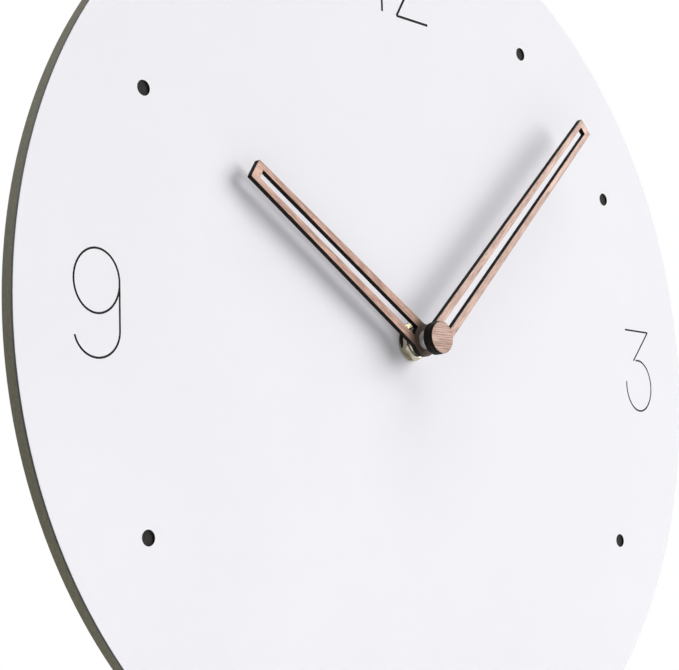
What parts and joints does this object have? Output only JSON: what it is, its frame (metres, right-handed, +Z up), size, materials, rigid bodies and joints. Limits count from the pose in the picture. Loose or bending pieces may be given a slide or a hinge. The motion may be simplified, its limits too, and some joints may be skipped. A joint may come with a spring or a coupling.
{
  "type": "wall clock",
  "caption": "Round wall clock with a white face, thin engraved figures and hour dots, slotted wooden hands and a battery quartz movement behind.",
  "frame": {"origin": "where the wall nail bears in the hanger plate's notch, at the middle of the plate's thickness, 41 mm above the hands' axis", "axes": "+Z up towards twelve o'clock, +X towards three o'clock, +Y back towards the wall; the dial faces -Y"},
  "size_m": [0.3, 0.0359, 0.3],
  "materials": {
    "white_laminate": "satin white laminate, engraved lines burnt dark",
    "fibreboard": "dark sanded fibreboard",
    "walnut": "pale walnut, laser cut with charred edges",
    "brass": "polished pale brass",
    "aluminium": "turned bright",
    "steel": "zinc plated sheet",
    "rubber": "black",
    "black_plastic": "fine moulded texture",
    "white_plastic": "moulded",
    "nylon": "natural moulded",
    "ferrite": "ground ferrite",
    "copper_wire": "enamelled copper winding",
    "circuit_green": "solder mask",
    "battery_wrap": "printed film sleeve, plain"
  },
  "bodies": {
    "clock": {"dial_laminate": "white_laminate", "dial_board": "fibreboard", "hanger_plate": "steel", "threaded_bush": "brass", "nut_washer": "brass", "hex_nut": "brass", "rubber_washer": "rubber", "front_case": "black_plastic", "middle_plate": "black_plastic", "train_bridge": "black_plastic", "back_cover": "black_plastic", "stator": "steel", "coil_core": "steel", "coil_bobbin": "black_plastic", "coil_winding": "copper_wire", "circuit_board": "circuit_green", "crystal_can": "steel", "chip_blob": "black_plastic", "positive_contact": "steel", "negative_contact": "steel"},
    "hour_hand": {"hour_hand": "walnut", "hour_hand_collet": "aluminium", "hour_wheel": "nylon"},
    "minute_hand": {"minute_hand": "walnut", "hub_cap": "walnut", "minute_hand_collet": "aluminium", "cannon_pinion": "brass", "clutch_washer": "steel"},
    "setting_knob": {"minute_wheel": "nylon", "setting_knob": "white_plastic"},
    "centre_wheel": {"centre_wheel": "nylon"},
    "third_wheel": {"third_wheel": "nylon"},
    "seconds_wheel": {"seconds_wheel": "nylon"},
    "intermediate_wheel": {"intermediate_wheel": "nylon"},
    "rotor": {"rotor_magnet": "ferrite", "rotor_pinion": "nylon"},
    "battery": {"battery_cell": "battery_wrap", "battery_terminal": "steel"}
  },
  "joints": [
    {"name": "minute_hand_turn", "type": "hinge", "parent": "clock", "child": "minute_hand", "pos_m": [0, 0, -0.041], "axis": [0, 1, 0], "continuous": true},
    {"name": "hour_hand_turn", "type": "hinge", "parent": "clock", "child": "hour_hand", "pos_m": [0, 0, -0.041], "axis": [0, 1, 0], "continuous": true},
    {"name": "setting_knob_turn", "type": "hinge", "parent": "clock", "child": "setting_knob", "pos_m": [0.0108, 0, -0.041], "axis": [0, 1, 0], "continuous": true},
    {"name": "rotor_turn", "type": "hinge", "parent": "clock", "child": "rotor", "pos_m": [0.00526, 0, -0.02735], "axis": [0, 1, 0], "continuous": true},
    {"name": "intermediate_wheel_turn", "type": "hinge", "parent": "clock", "child": "intermediate_wheel", "pos_m": [0.00226, 0, -0.03255], "axis": [0, 1, 0], "continuous": true},
    {"name": "seconds_wheel_turn", "type": "hinge", "parent": "clock", "child": "seconds_wheel", "pos_m": [0, 0, -0.041], "axis": [0, 1, 0], "continuous": true},
    {"name": "third_wheel_turn", "type": "hinge", "parent": "clock", "child": "third_wheel", "pos_m": [-0.0102, 0, -0.041], "axis": [0, 1, 0], "continuous": true},
    {"name": "centre_wheel_turn", "type": "hinge", "parent": "clock", "child": "centre_wheel", "pos_m": [0, 0, -0.041], "axis": [0, 1, 0], "continuous": true},
    {"name": "battery_lift", "type": "slide", "parent": "clock", "child": "battery", "axis": [0, 1, 0], "range_m": [0, 0.02]}
  ],
  "couplings": [
    {"joint": "hour_hand_turn", "follows": "minute_hand_turn", "ratio": 0.083333},
    {"joint": "setting_knob_turn", "follows": "minute_hand_turn", "ratio": -0.33333},
    {"joint": "intermediate_wheel_turn", "follows": "rotor_turn", "ratio": -0.2},
    {"joint": "seconds_wheel_turn", "follows": "rotor_turn", "ratio": 0.033333},
    {"joint": "third_wheel_turn", "follows": "rotor_turn", "ratio": -0.0041667},
    {"joint": "centre_wheel_turn", "follows": "rotor_turn", "ratio": 0.00055556}
  ]
}
